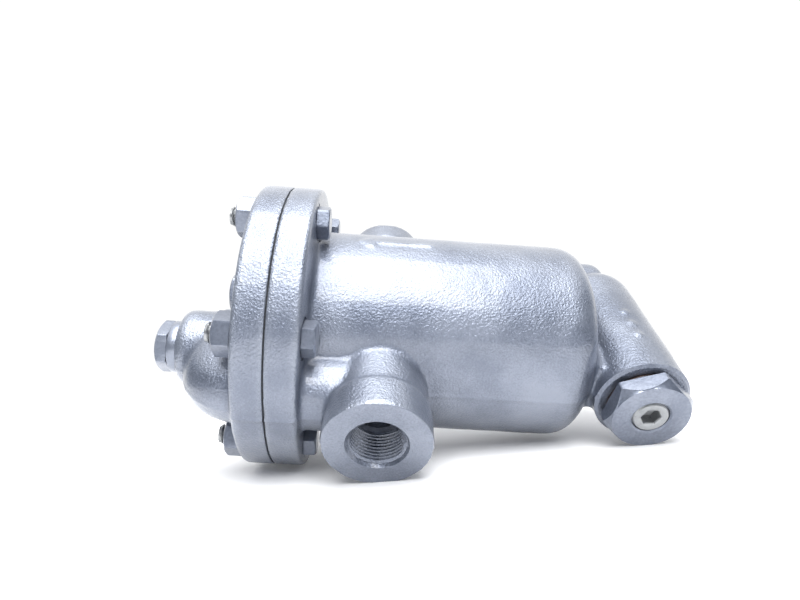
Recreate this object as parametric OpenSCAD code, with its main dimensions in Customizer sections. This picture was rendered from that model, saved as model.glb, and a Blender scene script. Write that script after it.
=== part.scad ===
// Inverted-bucket steam trap with an integral strainer, ports in line on opposite sides.
// The row frame has its origin at the mouth of the inlet port, +Z up along the body,
// and +Y pointing out of the inlet. Every part is drawn about the body's own axis
// and then moved into the row frame by placed().

/* [Ports] */
// Distance between the two port faces
face_to_face = 165; // [160:1:175]
// Radius of the tapped wall in each port, 3/4 inch taper pipe thread
port_bore_r = 11.9; // [11:0.1:12.5]
// Depth of the tapped wall in each port
port_thread_depth = 19; // [16:1:20]
// Radius of the round collar at each port
port_collar_r = 23.9; // [22:0.1:25]
// Length of the round collar at each port
port_collar_len = 17.5; // [14:0.5:20]

/* [Body] */
// Radius of the body and cap flanges
flange_r = 71.5; // [70:0.5:74]
// Thickness of each flange
flange_t = 14; // [12:0.5:15]
// Outer radius of the body wall
body_r = 50.2; // [49:0.1:52]
// Radius of the bucket chamber
chamber_r = 43; // [42:0.5:44]
// Height of the body's top face above the port axis
joint_z = 48.6; // [46:0.1:50]
// Depth of the chamber's floor below the port axis
floor_z = 97; // [95:0.5:98]

/* [Strainer] */
// Depth of the strainer's axis below the port axis
strainer_z = 126.3; // [125:0.1:128]
// Outer radius of the strainer housing
strainer_r = 22.6; // [22:0.1:24]
// Outer radius of the perforated screen
screen_r = 12.5; // [11:0.5:13]
// Size across the flats of the strainer plug's hexagon
plug_af = 36.5; // [34:0.5:37]

/* [Fasteners] */
// Number of cap bolts
bolt_count = 6; // [6:6:6]
// Radius of the circle the cap bolts stand on
bolt_circle_r = 60.4; // [59:0.2:61]
// Radius of a cap bolt's shank
bolt_r = 4.76; // [4:0.01:5]
// Size across the flats of a bolt head
bolt_head_af = 14.3; // [13:0.1:15]
// Size across the flats of a nut
nut_af = 17.5; // [16:0.1:18]

/* [Mechanism] */
// Outer radius of the bucket
bucket_r = 36; // [34:0.5:37]
// Thickness of the bucket's sheet
bucket_t = 1; // [0.8:0.1:1.2]
// Angle the lever hangs down while the valve is open
lever_drop = 8; // [6:0.5:9]
// Distance from the fulcrum to the point that carries the bucket
lever_arm = 37.5; // [36:0.5:38]
// Radius of the orifice in the valve seat
orifice_r = 1.8; // [1:0.1:2]

/* [Hidden] */
$fn = 72;
eps = 0.02;
thread_gap = 0.05;

// joint between the body and the cap
gasket_t = 0.8;
cap_z = joint_z + gasket_t;
cap_top = cap_z + flange_t;
flange_edge = 2;
passage_r = 5.5;
passage_y = 52.5;
inlet_riser_r = 18.5;
outlet_riser_r = 17;
riser_end_z = -135;
riser_end_ease = 9;

// ports
port_y = face_to_face / 2;
port_neck_r = port_collar_r - 1.9;
port_inner_r = 9;

// body shell
dome_r = 15;
dome_z = -88;
body_bottom = -105;
saddle_half_w = 13;
saddle_y = -38;

// strainer, laid along Y
rim_y = -46;
far_y = 33;
strainer_bore_r = 16;
screen_seat_y = 28;
screen_seat_depth = 4;
screen_wall = 0.8;
screen_y0 = -39.5;
screen_y1 = screen_seat_y + screen_seat_depth - 0.3;
plug_gasket_t = 1.6;
plug_gasket_r = 17.6;
plug_hex_t = 9.4;
plug_turn = -8.6;
plug_y = rim_y - plug_gasket_t;
plug_face_y = plug_y - plug_hex_t;
blowdown_r = 8.6;
blowdown_len = 12;
socket_af = 7.94;

// cap
crown_r = 46;
crown_top = cap_top + 4.5;
recess_r = 42;
recess_top = cap_z + 10.5;
seat_y = -25;
seat_bore_r = 8;
boss_r = 18.5;
boss_top = 97.2;
boss_face_r = 13.6;
boss_shoulder = 5;
elbow_r = 28;
elbow_y = -39.4;
elbow_z = 63.8;
elbow_half_w = 17.5;
elbow_passage_z = 72;
tapping_y = 26.3;
tapping_r = 15;
tapping_top = 75;
hex_plug_af = 22.2;
hex_plug_t = 5.8;
hex_plug_collar_r = 12.7;
hex_plug_collar_t = 5;
hex_plug_r = 7.3;
hex_plug_len = 12;

// cap bolts
bolt_head_t = 6.3;
nut_t = 8.2;
bolt_end = cap_top + nut_t + 3.6;
bolt_hole_r = bolt_r + 0.5;
bolt_angles = [for (i = [0 : bolt_count - 1]) -60 + i * 360 / bolt_count];

// lever and valve, drawn level, then let down about the fulcrum
fulcrum_y = seat_y - 11.5;
fulcrum_z = 46;
lever_t = 2.5;
hook_y = fulcrum_y + lever_arm;
seat_face_z = recess_top - 3;
valve_r = 3;
valve_z = seat_face_z - sqrt(valve_r * valve_r - orifice_r * orifice_r) - 0.1;
pin_x = 8;
pin_r = 1.5;
pin_head_r = 3;
knuckle_r = 1.5;
bracket_t = 2.5;
bracket_screw = [13.5, -16];

// bucket, drawn where it rests with the valve open
hook_z = fulcrum_z - lever_arm * sin(lever_drop) + lever_t * cos(lever_drop);
bucket_top = 33;
bucket_rim = -84;
clip_t = 1.6;
clip_half = 6.5;
clip_rise = 0.4;
rivet_x = clip_half + 3.3;
rivet_r = 1.5;
rivet_head_r = 2.4;

// inlet tube
tube_r = 8;
tube_bore_r = 6.3;
tube_top = -30;
tube_seat = 11;

// ---- helpers ----

// moves a part from the body's axis into the row frame
module placed() {
    translate([0, -port_y, 0]) children();
}

// points along an arc in a flat profile, from angle a0 to a1
function arc(cx, cz, r, a0, a1, n = 6) =
    [for (i = [0 : n]) let (a = a0 + (a1 - a0) * i / n) [cx + r * cos(a), cz + r * sin(a)]];

// a cylinder of radius r along Y between two stations
module rod_y(r, y0, y1, z = 0) {
    translate([0, y1, z]) rotate([90, 0, 0]) cylinder(r = r, h = y1 - y0);
}

// a cone along Y, radius r0 at y0 and r1 at y1
module cone_y(r0, r1, y0, y1, z = 0) {
    translate([0, y0, z]) rotate([-90, 0, 0]) cylinder(r1 = r0, r2 = r1, h = y1 - y0);
}

// an upright cylinder between two heights
module rod_z(r, z0, z1) {
    translate([0, 0, z0]) cylinder(r = r, h = z1 - z0);
}

// a hexagon prism by its size across the flats
module hex_z(af, h) {
    cylinder(r = af / 2 / cos(30), h = h, $fn = 6);
}

// a hexagon with its corners chamfered by a cone on its top face
module hex_head(af, h) {
    intersection() {
        hex_z(af, h);
        rotate_extrude() polygon([[0, 0], [af * 0.6, 0], [af * 0.6, h - af * 0.12],
            [af * 0.48, h], [0, h]]);
    }
}

// repeats its children at each cap bolt
module at_bolts() {
    for (a = bolt_angles)
        translate([bolt_circle_r * cos(a), bolt_circle_r * sin(a), 0]) children();
}

// lets its children down about the fulcrum, from level to the open position
module let_down() {
    translate([0, fulcrum_y, fulcrum_z]) rotate([-lever_drop, 0, 0])
        translate([0, -fulcrum_y, -fulcrum_z]) children();
}

// ---- castings ----

// collar, neck and riser of one port, side = -1 for the outlet and 1 for the inlet
module port_boss(side) {
    y_collar = port_y - port_collar_len;
    mirror([0, side < 0 ? 1 : 0, 0]) {
        rod_y(port_neck_r, 20, port_y - 1);
        rod_y(port_collar_r, y_collar, port_y - 1.5);
        cone_y(port_collar_r, port_collar_r - 1.5, port_y - 1.5, port_y);
    }
}

module body_shell() {
    rotate_extrude() polygon(concat(
        [[0, body_bottom], [30, body_bottom]],
        arc(body_r - dome_r, dome_z, dome_r, -72, 0),
        arc(body_r + 4, joint_z - flange_t - 4, 4, 180, 90),
        arc(flange_r - flange_edge, joint_z - flange_t + flange_edge, flange_edge, -90, 0),
        [[flange_r, joint_z - 0.6], [flange_r - 0.6, joint_z], [0, joint_z]]));
}

module strainer_housing() {
    rod_y(strainer_r, rim_y + 1.5, far_y, -strainer_z);
    cone_y(strainer_r - 1.5, strainer_r, rim_y, rim_y + 1.5, -strainer_z);
    translate([0, far_y, -strainer_z]) sphere(r = strainer_r);
    // saddle that joins the housing to the body's bottom
    translate([-saddle_half_w, saddle_y, -strainer_z])
        cube([2 * saddle_half_w, -saddle_y, strainer_z - floor_z - 2]);
}

// risers that carry the inlet down to the strainer and the outlet up to the cap
module risers() {
    translate([0, passage_y, 0]) rotate_extrude() polygon(concat(
        [[0, riser_end_z]],
        arc(inlet_riser_r - riser_end_ease, riser_end_z + riser_end_ease, riser_end_ease, -90, 0),
        [[inlet_riser_r, 0], [0, 0]]));
    translate([0, -passage_y, 0]) rod_z(outlet_riser_r, 0, joint_z - flange_t + 2);
    translate([2 - inlet_riser_r, 0, -strainer_z])
        cube([2 * inlet_riser_r - 4, passage_y, strainer_z - 1]);
    translate([2 - outlet_riser_r, -passage_y, 1])
        cube([2 * outlet_riser_r - 4, passage_y, joint_z - flange_t]);
}

module body_cavity() {
    rotate_extrude() polygon(concat([[0, joint_z + 1], [0, -floor_z]],
        arc(chamber_r - 10, -floor_z + 10, 10, -90, 0),
        [[chamber_r, joint_z + 1]]));
    for (side = [-1, 1]) mirror([0, side < 0 ? 1 : 0, 0]) {
        rod_y(port_bore_r, port_y - port_thread_depth, port_y + 1);
        rod_y(port_inner_r, passage_y - passage_r - 0.8, port_y - port_thread_depth + eps);
    }
    translate([0, -passage_y, 0]) rod_z(passage_r, 0, joint_z + 1);
    translate([0, passage_y, 0]) rod_z(passage_r, -strainer_z, 0);
}

module strainer_bores() {
    rod_y(strainer_bore_r, rim_y - 1, screen_seat_y, -strainer_z);
    rod_y(screen_r + 0.1, screen_seat_y - eps, screen_seat_y + screen_seat_depth, -strainer_z);
    rod_y(passage_r - 0.5, screen_seat_y, passage_y, -strainer_z);
    rod_z(tube_r, -floor_z - tube_seat, -floor_z + 1);
    rod_z(tube_bore_r, -strainer_z, -floor_z);
}

// cast body with its flange, two ports, riser passages and strainer housing
module body() {
    color("slategray") placed() difference() {
        union() {
            body_shell();
            port_boss(1);
            port_boss(-1);
            risers();
            strainer_housing();
        }
        body_cavity();
        strainer_bores();
        at_bolts() rod_z(bolt_hole_r, 0, joint_z + 1);
        // spot faces that seat the bolt heads beside the risers
        at_bolts() rod_z(bolt_head_af * 0.62, 20, joint_z - flange_t);
    }
}

module cap_shell() {
    rotate_extrude() polygon(concat(
        [[0, cap_z], [flange_r - 0.6, cap_z], [flange_r, cap_z + 0.6]],
        arc(flange_r - flange_edge, cap_top - flange_edge, flange_edge, 0, 90),
        arc(crown_r - 3, crown_top - 3, 3, 0, 90),
        [[0, crown_top]]));
}

// outlet elbow: an upright slot shape whose top follows a large round
module cap_elbow() {
    intersection() {
        union() {
            translate([0, seat_y, 0]) rod_z(elbow_half_w, cap_z + 1, boss_top);
            translate([0, elbow_y - elbow_r + elbow_half_w, 0])
                rod_z(elbow_half_w, cap_z + 1, boss_top);
            translate([-elbow_half_w, elbow_y - elbow_r + elbow_half_w, cap_z + 1])
                cube([2 * elbow_half_w, elbow_r - elbow_half_w, boss_top - cap_z]);
        }
        union() {
            translate([-elbow_half_w, elbow_y, elbow_z]) rotate([0, 90, 0])
                cylinder(r = elbow_r, h = 2 * elbow_half_w);
            translate([-elbow_half_w, elbow_y - elbow_r, cap_z])
                cube([2 * elbow_half_w, 2 * elbow_r, elbow_z - cap_z]);
        }
    }
}

module cap_bosses() {
    translate([0, seat_y, 0]) rotate_extrude() polygon(concat([[0, cap_z + 1], [boss_r, cap_z + 1]],
        arc(boss_r - boss_shoulder, boss_top - boss_shoulder, boss_shoulder, 0, 85),
        [[boss_face_r, boss_top], [0, boss_top]]));
    translate([0, tapping_y, 0]) rotate_extrude() polygon(concat(
        [[0, cap_z + 1], [tapping_r, cap_z + 1]],
        arc(tapping_r - 3, tapping_top - 3, 3, 0, 90), [[0, tapping_top]]));
}

// cast cap with the seat chamber, the outlet elbow and two tapped bosses
module cap() {
    color("slategray") placed() difference() {
        union() {
            cap_shell();
            cap_elbow();
            cap_bosses();
        }
        rod_z(recess_r, cap_z - 1, recess_top);
        translate([0, seat_y, 0]) {
            rod_z(seat_bore_r, recess_top - 1, recess_top + 7);
            rod_z(hex_plug_r, recess_top + 6, boss_top + 1);
        }
        translate([0, tapping_y, 0]) rod_z(hex_plug_r, recess_top - 1, tapping_top + 1);
        rod_y(passage_r, -passage_y, seat_y, elbow_passage_z);
        translate([0, -passage_y, 0]) rod_z(passage_r, cap_z - 1, elbow_passage_z);
        translate([0, -passage_y, elbow_passage_z]) sphere(r = passage_r);
        at_bolts() rod_z(bolt_hole_r, cap_z - 1, crown_top + 1);
        // spot faces that seat the nuts beside the elbow
        at_bolts() rod_z(nut_af * 0.62, cap_top, boss_top);
        for (s = [-1, 1]) translate([s * bracket_screw[0], bracket_screw[1], 0])
            rod_z(2, recess_top - 1, recess_top + 5.5);
    }
}

module cap_gasket() {
    color("dimgray") placed() difference() {
        rod_z(flange_r - 1, joint_z, cap_z);
        rod_z(chamber_r + 0.5, joint_z - 1, cap_z + 1);
        at_bolts() rod_z(bolt_hole_r, joint_z - 1, cap_z + 1);
        translate([0, -passage_y, 0]) rod_z(passage_r, joint_z - 1, cap_z + 1);
    }
}

// ---- outer fasteners and plugs ----

module cap_bolts() {
    color("lightslategray") placed() at_bolts() {
        translate([0, 0, joint_z - flange_t]) rotate([180, 0, 0])
            hex_head(bolt_head_af, bolt_head_t);
        rod_z(bolt_r, joint_z - flange_t - eps, bolt_end - 1);
        translate([0, 0, bolt_end - 1]) cylinder(r1 = bolt_r, r2 = bolt_r - 1, h = 1);
    }
}

module cap_nuts() {
    color("lightslategray") placed() at_bolts() translate([0, 0, cap_top]) difference() {
        hex_head(nut_af, nut_t);
        rod_z(bolt_r + thread_gap, -1, nut_t + 1);
    }
}

// hexagon head over a round collar and a short pipe thread, point down
module hex_plug(seat) {
    translate([0, 0, seat - hex_plug_len]) cylinder(r = hex_plug_r - thread_gap, h = hex_plug_len);
    translate([0, 0, seat]) rotate_extrude() polygon(concat([[0, 0]],
        arc(hex_plug_collar_r - 1.2, 1.2, 1.2, -90, 0, 4),
        arc(hex_plug_collar_r - 1.2, hex_plug_collar_t - 1.2, 1.2, 0, 90, 4),
        [[0, hex_plug_collar_t]]));
    translate([0, 0, seat + hex_plug_collar_t]) hex_head(hex_plug_af, hex_plug_t);
}

module test_plug() {
    color("gray") placed() translate([0, seat_y, 0]) hex_plug(boss_top);
}

module cap_plug() {
    color("lightslategray") placed() translate([0, tapping_y, 0]) hex_plug(tapping_top);
}

// ---- valve mechanism ----

module valve_seat() {
    color("silver") placed() translate([0, seat_y, 0]) difference() {
        union() {
            rod_z(seat_bore_r - thread_gap, recess_top - eps, recess_top + 6);
            translate([0, 0, seat_face_z]) hex_z(17, recess_top - seat_face_z);
        }
        rod_z(orifice_r, seat_face_z - 1, recess_top + 7);
        rod_z(orifice_r + 2.5, recess_top, recess_top + 7);
    }
}

// plate under the cap that carries the two guide pins
module guide_bracket() {
    color("silver") placed() difference() {
        translate([0, 0, recess_top - bracket_t]) intersection() {
            cylinder(r = recess_r - 1, h = bracket_t);
            translate([-18, -recess_r, 0]) cube([36, recess_r - 10, bracket_t]);
        }
        translate([0, seat_y, 0]) rod_z(10.3, 0, recess_top + 1);
        for (s = [-1, 1]) {
            translate([s * bracket_screw[0], bracket_screw[1], 0]) rod_z(2.2, 0, recess_top + 1);
            translate([s * pin_x, fulcrum_y, 0]) rod_z(pin_r, 0, recess_top + 1);
        }
    }
}

module bracket_screws() {
    color("silver") placed() for (s = [-1, 1])
        translate([s * bracket_screw[0], bracket_screw[1], 0]) {
            rod_z(2 - thread_gap, recess_top - bracket_t, recess_top + 4.5);
            difference() {
                rod_z(3.6, recess_top - bracket_t - 2.6, recess_top - bracket_t);
                translate([-0.5, -5, 0]) cube([1, 10, recess_top - bracket_t - 1.3]);
            }
        }
}

// headed pins that the lever floats on
module guide_pins() {
    color("silver") placed() for (s = [-1, 1]) translate([s * pin_x, fulcrum_y, 0]) {
        rod_z(pin_r - 0.02, fulcrum_z - knuckle_r - 2, recess_top);
        rod_z(pin_head_r, fulcrum_z - knuckle_r - 2.1, fulcrum_z - knuckle_r - 0.1);
    }
}

module lever() {
    color("silver") placed() let_down() difference() {
        union() {
            translate([-12, fulcrum_y - 3.4, fulcrum_z]) cube([24, 7.5, lever_t]);
            // round knuckle that rocks on the heads of the guide pins
            translate([-12, fulcrum_y, fulcrum_z]) rotate([0, 90, 0])
                cylinder(r = knuckle_r, h = 24);
            translate([-6, fulcrum_y, fulcrum_z]) cube([12, 19, lever_t]);
            translate([-4, fulcrum_y, fulcrum_z]) cube([8, lever_arm + 4, lever_t]);
            // turned-up tip that keeps the clip on
            translate([-4, hook_y + 2.4, fulcrum_z]) cube([8, 1.6, lever_t + 1.6]);
        }
        for (s = [-1, 1]) translate([s * pin_x, fulcrum_y, 0])
            rod_z(pin_r + 0.6, 0, fulcrum_z + 5);
        translate([0, seat_y, 0]) rod_z(2, 0, fulcrum_z + 5);
    }
}

module valve() {
    color("gainsboro") placed() let_down() translate([0, seat_y, 0]) {
        rod_z(2 - thread_gap, fulcrum_z - 3.6, fulcrum_z + lever_t);
        rod_z(4, fulcrum_z + lever_t, valve_z - 1.5);
        rod_z(valve_r, valve_z - 1.6, valve_z);
        translate([0, 0, valve_z]) sphere(r = valve_r);
    }
}

module valve_nut() {
    color("silver") placed() let_down() translate([0, seat_y, fulcrum_z - 3]) difference() {
        hex_z(7, 3);
        rod_z(2, -1, 4);
    }
}

// inverted bucket: closed top with a vent, open below
module bucket() {
    color("lightgray") placed() difference() {
        rotate_extrude() polygon(concat([[0, bucket_top], [0, bucket_top - bucket_t]],
            arc(bucket_r - 5, bucket_top - 5, 5 - bucket_t, 90, 0),
            [[bucket_r - bucket_t, bucket_rim], [bucket_r, bucket_rim]],
            arc(bucket_r - 5, bucket_top - 5, 5, 0, 90)));
        translate([0, 22, 0]) rod_z(1.6, 0, bucket_top + 1);
        for (s = [-1, 1]) translate([s * rivet_x, hook_y, 0])
            rod_z(rivet_r, 0, bucket_top + 1);
    }
}

// bridge on the bucket's top that hangs from the lever's tip
module bucket_clip() {
    bridge_z = hook_z + clip_rise;
    color("silver") placed() translate([0, hook_y, 0]) difference() {
        union() {
            for (s = [-1, 1]) {
                translate([s * clip_half - clip_t / 2, -2, bucket_top])
                    cube([clip_t, 4, bridge_z - bucket_top + clip_t]);
                translate([s > 0 ? clip_half - clip_t / 2 : -clip_half - 6.5 + clip_t / 2, -3,
                    bucket_top]) cube([6.5, 6, clip_t]);
            }
            translate([-clip_half, -2, bridge_z]) cube([2 * clip_half, 4, clip_t]);
        }
        for (s = [-1, 1]) translate([s * rivet_x, 0, 0]) rod_z(rivet_r, 0, bucket_top + 5);
    }
}

module clip_rivets() {
    color("silver") placed() for (s = [-1, 1]) translate([s * rivet_x, hook_y, 0]) {
        rod_z(rivet_r - thread_gap, bucket_top - bucket_t, bucket_top + clip_t);
        rod_z(rivet_head_r, bucket_top + clip_t, bucket_top + clip_t + 1);
        rod_z(rivet_head_r, bucket_top - bucket_t - 1, bucket_top - bucket_t);
    }
}

// ---- inlet tube and strainer ----

module inlet_tube() {
    color("silver") placed() difference() {
        rod_z(tube_r - thread_gap, -floor_z - tube_seat, tube_top);
        rod_z(tube_bore_r, -floor_z - tube_seat - 1, tube_top + 1);
    }
}

module strainer_screen() {
    color("silver") placed() difference() {
        rod_y(screen_r, screen_y0, screen_y1, -strainer_z);
        rod_y(screen_r - screen_wall, screen_y0 - 1, screen_y1 + 1, -strainer_z);
    }
}

module strainer_plug() {
    color("slategray") placed() difference() {
        union() {
            translate([0, plug_y, -strainer_z]) rotate([90, 0, 0])
                rotate([0, 0, plug_turn]) hex_head(plug_af, plug_hex_t);
            rod_y(strainer_bore_r - thread_gap, plug_y - eps, rim_y + 12, -strainer_z);
        }
        rod_y(blowdown_r, plug_face_y - 1, plug_y + 8, -strainer_z);
        rod_y(screen_r + 0.15, screen_y0 - 0.2, rim_y + 13, -strainer_z);
        rod_y(6, plug_y + 7, rim_y + 13, -strainer_z);
    }
}

module strainer_gasket() {
    color("darkgoldenrod") placed() difference() {
        rod_y(plug_gasket_r, plug_y, rim_y, -strainer_z);
        rod_y(strainer_bore_r + 0.1, plug_y - 1, rim_y + 1, -strainer_z);
    }
}

module blowdown_plug() {
    color("silver") placed() difference() {
        union() {
            rod_y(blowdown_r - thread_gap, plug_face_y + 1, plug_face_y + blowdown_len,
                -strainer_z);
            cone_y(blowdown_r - 0.8, blowdown_r - thread_gap, plug_face_y + 0.2,
                plug_face_y + 1 + eps, -strainer_z);
        }
        translate([0, plug_face_y + 6, -strainer_z]) rotate([90, 0, 0]) hex_z(socket_af, 8);
    }
}

body();
cap();
cap_gasket();
cap_bolts();
cap_nuts();
test_plug();
cap_plug();
valve_seat();
guide_bracket();
bracket_screws();
guide_pins();
lever();
valve();
valve_nut();
bucket();
bucket_clip();
clip_rivets();
inlet_tube();
strainer_screen();
strainer_plug();
strainer_gasket();
blowdown_plug();
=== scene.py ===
"""Inverted-bucket steam trap: castings, fasteners, mechanism, finishes and a small studio.

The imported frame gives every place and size; lengths below are millimetres about the body's
own axis, with heights from the port axis, until place() moves a piece into the row frame.
"""

import math

import bpy
import numpy as np
from mathutils import Matrix, Vector


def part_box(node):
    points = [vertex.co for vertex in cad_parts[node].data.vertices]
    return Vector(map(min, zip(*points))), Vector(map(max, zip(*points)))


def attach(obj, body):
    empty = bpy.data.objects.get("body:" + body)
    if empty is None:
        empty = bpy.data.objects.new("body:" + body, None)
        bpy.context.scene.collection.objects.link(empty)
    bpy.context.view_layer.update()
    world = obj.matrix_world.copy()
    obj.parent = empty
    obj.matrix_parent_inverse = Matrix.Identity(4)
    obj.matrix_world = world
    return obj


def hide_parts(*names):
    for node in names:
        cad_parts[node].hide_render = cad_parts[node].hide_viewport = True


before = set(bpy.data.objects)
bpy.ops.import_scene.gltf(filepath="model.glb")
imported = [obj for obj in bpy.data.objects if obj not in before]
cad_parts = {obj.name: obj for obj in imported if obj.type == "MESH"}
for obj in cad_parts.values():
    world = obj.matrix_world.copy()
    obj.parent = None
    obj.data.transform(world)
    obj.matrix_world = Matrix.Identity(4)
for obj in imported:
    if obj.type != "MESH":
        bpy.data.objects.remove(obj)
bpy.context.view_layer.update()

bl_info = {
    "name": "Inverted-bucket steam trap",
    "version": (1, 0, 0),
    "blender": (4, 5, 0),
    "location": "3D View > Sidebar > Steam trap",
    "description": "Builds the looks of a cast iron steam trap around its packed frame",
    "category": "Object",
}

MM = 0.001
BODY_LOW, BODY_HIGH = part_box("body")
CAP_LOW, CAP_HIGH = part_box("cap")
BOLT_LOW, BOLT_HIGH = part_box("cap_bolts")
NUT_LOW, NUT_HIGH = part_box("cap_nuts")
PLUG_LOW, PLUG_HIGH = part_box("strainer_plug")
RING_LOW, RING_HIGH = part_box("strainer_gasket")
AXIS_Y = (BODY_LOW[1] + BODY_HIGH[1]) / 2
PORT_Y = (BODY_HIGH[1] - BODY_LOW[1]) / 2 / MM
JOINT_Z = BODY_HIGH[2] / MM
CAP_Z = CAP_LOW[2] / MM
CAP_TOP = NUT_LOW[2] / MM
FLANGE_R = BODY_HIGH[0] / MM
FLANGE_UNDER = JOINT_Z - (CAP_TOP - CAP_Z)
STRAINER_Z = (PLUG_LOW[2] + PLUG_HIGH[2]) / 2 / MM
PLUG_STEM = 12
RIM_Y = (PLUG_HIGH[1] - AXIS_Y) / MM - PLUG_STEM
# The outlet boss and the second tapping on the cap: their place and the height of their face.
BOSS_Y, BOSS_TOP = -25, CAP_HIGH[2] / MM
TAPPING_Y, TAPPING_TOP = 26.3, 75


def length(name, text, default, low, high):
    """A length property, given in millimetres and kept in metres."""
    return bpy.props.FloatProperty(
        name=name, description=text, default=default * MM, min=low * MM, max=high * MM,
        unit="LENGTH", precision=5)


def share(name, text, default, high=1.0):
    """A plain number property."""
    return bpy.props.FloatProperty(name=name, description=text, default=default, min=0, max=high)


def paint(name, text, default):
    """A colour property."""
    return bpy.props.FloatVectorProperty(
        name=name, description=text, default=default, min=0, max=1, size=3, subtype="COLOR")


def turns(name, text, default):
    """Six angles in degrees, one for each cap bolt."""
    return bpy.props.FloatVectorProperty(name=name, description=text, size=6, default=default)


def whole(name, text, default, low, high):
    """A whole number property."""
    return bpy.props.IntProperty(name=name, description=text, default=default, min=low, max=high)


class TrapCasting(bpy.types.PropertyGroup):
    """Sizes of the two castings."""
    voxel: length("Skin grain", "Size of the cells the cast skin is made of", 1.0, 0.6, 4)
    wall_r: length("Body radius", "Outer radius of the body wall", 50.2, 48, 53)
    chamber_r: length("Chamber radius", "Radius of the bucket chamber", 43, 40, 45)
    floor: length("Chamber floor", "Depth of the chamber's floor below the ports", 97, 90, 100)
    port_bore_r: length("Port bore", "Radius of the tapped wall in a port", 11.9, 11, 13)
    collar_r: length("Port collar", "Radius of the collar round a port", 23.9, 22, 26)
    strainer_r: length("Strainer housing", "Outer radius of the strainer housing", 22.6, 21, 25)
    strainer_bore_r: length("Strainer bore", "Radius of the strainer's bore", 16, 14, 18)
    passage_r: length("Passage", "Radius of the drilled steam passages", 5.5, 4, 7)
    passage_y: length("Passage place", "Distance of the risers from the body's axis", 52.5, 50, 55)
    inlet_riser_r: length("Inlet riser", "Radius of the riser down to the strainer", 18.5, 16, 20)
    outlet_riser_r: length("Outlet riser", "Radius of the riser up to the cap", 17, 12, 19)
    crown_r: length("Cap crown", "Radius of the cap's raised middle", 46, 40, 50)
    elbow_r: length("Outlet elbow", "Radius of the outlet elbow on the cap", 17.5, 14, 19)
    fillet: whole("Fillet passes", "How far forms melt together where they meet", 16, 0, 120)
    uneven: length("Unevenness", "Depth of the sand mould's slow unevenness", 0.45, 0, 2)
    seam: length("Parting seam", "Height of the mould's parting seam", 0.4, 0, 1)


class TrapFasteners(bpy.types.PropertyGroup):
    """Sizes of the cap bolts, nuts and plugs."""
    count: whole("Cap bolts", "Number of bolts round the cap", 6, 6, 6)
    circle_r: length("Bolt circle", "Radius of the circle the bolts stand on", 60.4, 58, 62)
    shank_r: length("Shank", "Radius of a bolt's shank", 4.76, 4, 5)
    pitch: length("Bolt thread", "Pitch of the bolt thread", 1.59, 1, 2)
    head_af: length("Bolt head", "Size across a bolt head's flats", 14.3, 13, 15)
    nut_af: length("Nut", "Size across a nut's flats", 17.5, 16, 18)
    nut_turns: turns("Nut turns", "How far each nut is turned, in degrees",
                     (43.5, 21.0, 5.0, 33.0, 9.4, 8.6))
    head_turns: turns("Head turns", "How far each bolt head is turned, in degrees",
                      (12.0, 50.0, 27.0, 3.0, 38.0, 7.1))
    pipe_pitch: length("Pipe thread", "Pitch of the pipe threads", 1.81, 1, 3)
    plug_af: length("Cap plug", "Size across a cap plug's flats", 22.2, 20, 24)
    strainer_af: length("Strainer plug", "Size across the strainer plug's flats", 36.5, 34, 37)
    socket_af: length("Socket", "Size across the blowdown plug's socket", 7.94, 6, 9)


class TrapScreen(bpy.types.PropertyGroup):
    """Sizes of the perforated strainer screen."""
    around: whole("Holes round", "Rows of holes round the screen", 36, 8, 60)
    along: whole("Holes along", "Holes along the screen", 34, 8, 60)
    hole_r: length("Hole", "Radius of one hole", 0.6, 0.2, 0.9)
    wall: length("Sheet", "Thickness of the screen's sheet", 0.8, 0.3, 1)


class TrapFinish(bpy.types.PropertyGroup):
    """Colours of the paint and the bare metals."""
    enamel: paint("Enamel", "Blue-grey metallic casting enamel", (0.215, 0.238, 0.292))
    # The darker enamel colour serves the random tone drift and also painted shade: hollows are
    # darkened toward it.
    enamel_shade: paint("Enamel in hollows", "Darker enamel tone, and painted shade in hollows", (0.125, 0.144, 0.19))
    # Pale enamel for the convex edges: part edge wear, part painted highlight.
    enamel_worn: paint("Enamel on edges", "Enamel worn thin on edges, with painted highlight", (0.36, 0.385, 0.43))
    bare_iron: paint("Bare iron", "Machined grey iron", (0.33, 0.26, 0.20))
    zinc: paint("Zinc", "Zinc plated steel", (0.36, 0.37, 0.38))
    stainless: paint("Stainless", "Stainless steel", (0.48, 0.475, 0.46))
    fibre: paint("Gasket", "Compressed fibre gasket", (0.025, 0.027, 0.03))
    # The copper is darkened almost to black as painted shade, so the ring stands for the shaded
    # gap under the strainer plug's hexagon.
    copper: paint("Copper", "Copper sealing ring", (0.09, 0.065, 0.055))
    grit: share("Cast grit", "Strength of the sand-cast grit under the paint", 1.0)


class TrapStage(bpy.types.PropertyGroup):
    """The studio the trap lies in."""
    lens: bpy.props.FloatProperty(
        name="Lens", description="Focal length on a 36 mm sensor", default=24.8, min=10, max=200)
    lamp: share("Soft box", "Power of the overhead soft box in watts", 20.0, 200)
    sky: share("Room", "Brightness of the white room", 1.35, 5)
    front: share("Dark side", "Brightness of the room behind the camera", 0.14, 5)


def sizes(group):
    """A property group's values by name, with its lengths in millimetres."""
    class Values:
        pass

    for prop in group.bl_rna.properties:
        if prop.identifier not in {"rna_type", "name"}:
            value = getattr(group, prop.identifier)
            in_mm = getattr(prop, "unit", "NONE") == "LENGTH"
            setattr(Values, prop.identifier, value / MM if in_mm else value)
    return Values


# ---- node trees written as expressions ----

class Wire:
    """An output socket that can be used in Python arithmetic."""

    def __init__(self, net, socket):
        self.net, self.socket = net, socket

    def __add__(self, other):
        return self.net.maths("ADD", self, other)

    def __sub__(self, other):
        return self.net.maths("SUBTRACT", self, other)

    def __rsub__(self, other):
        return self.net.maths("SUBTRACT", other, self)

    def __mul__(self, other):
        return self.net.maths("MULTIPLY", self, other)

    def __truediv__(self, other):
        return self.net.maths("DIVIDE", self, other)

    __radd__, __rmul__ = __add__, __mul__


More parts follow.
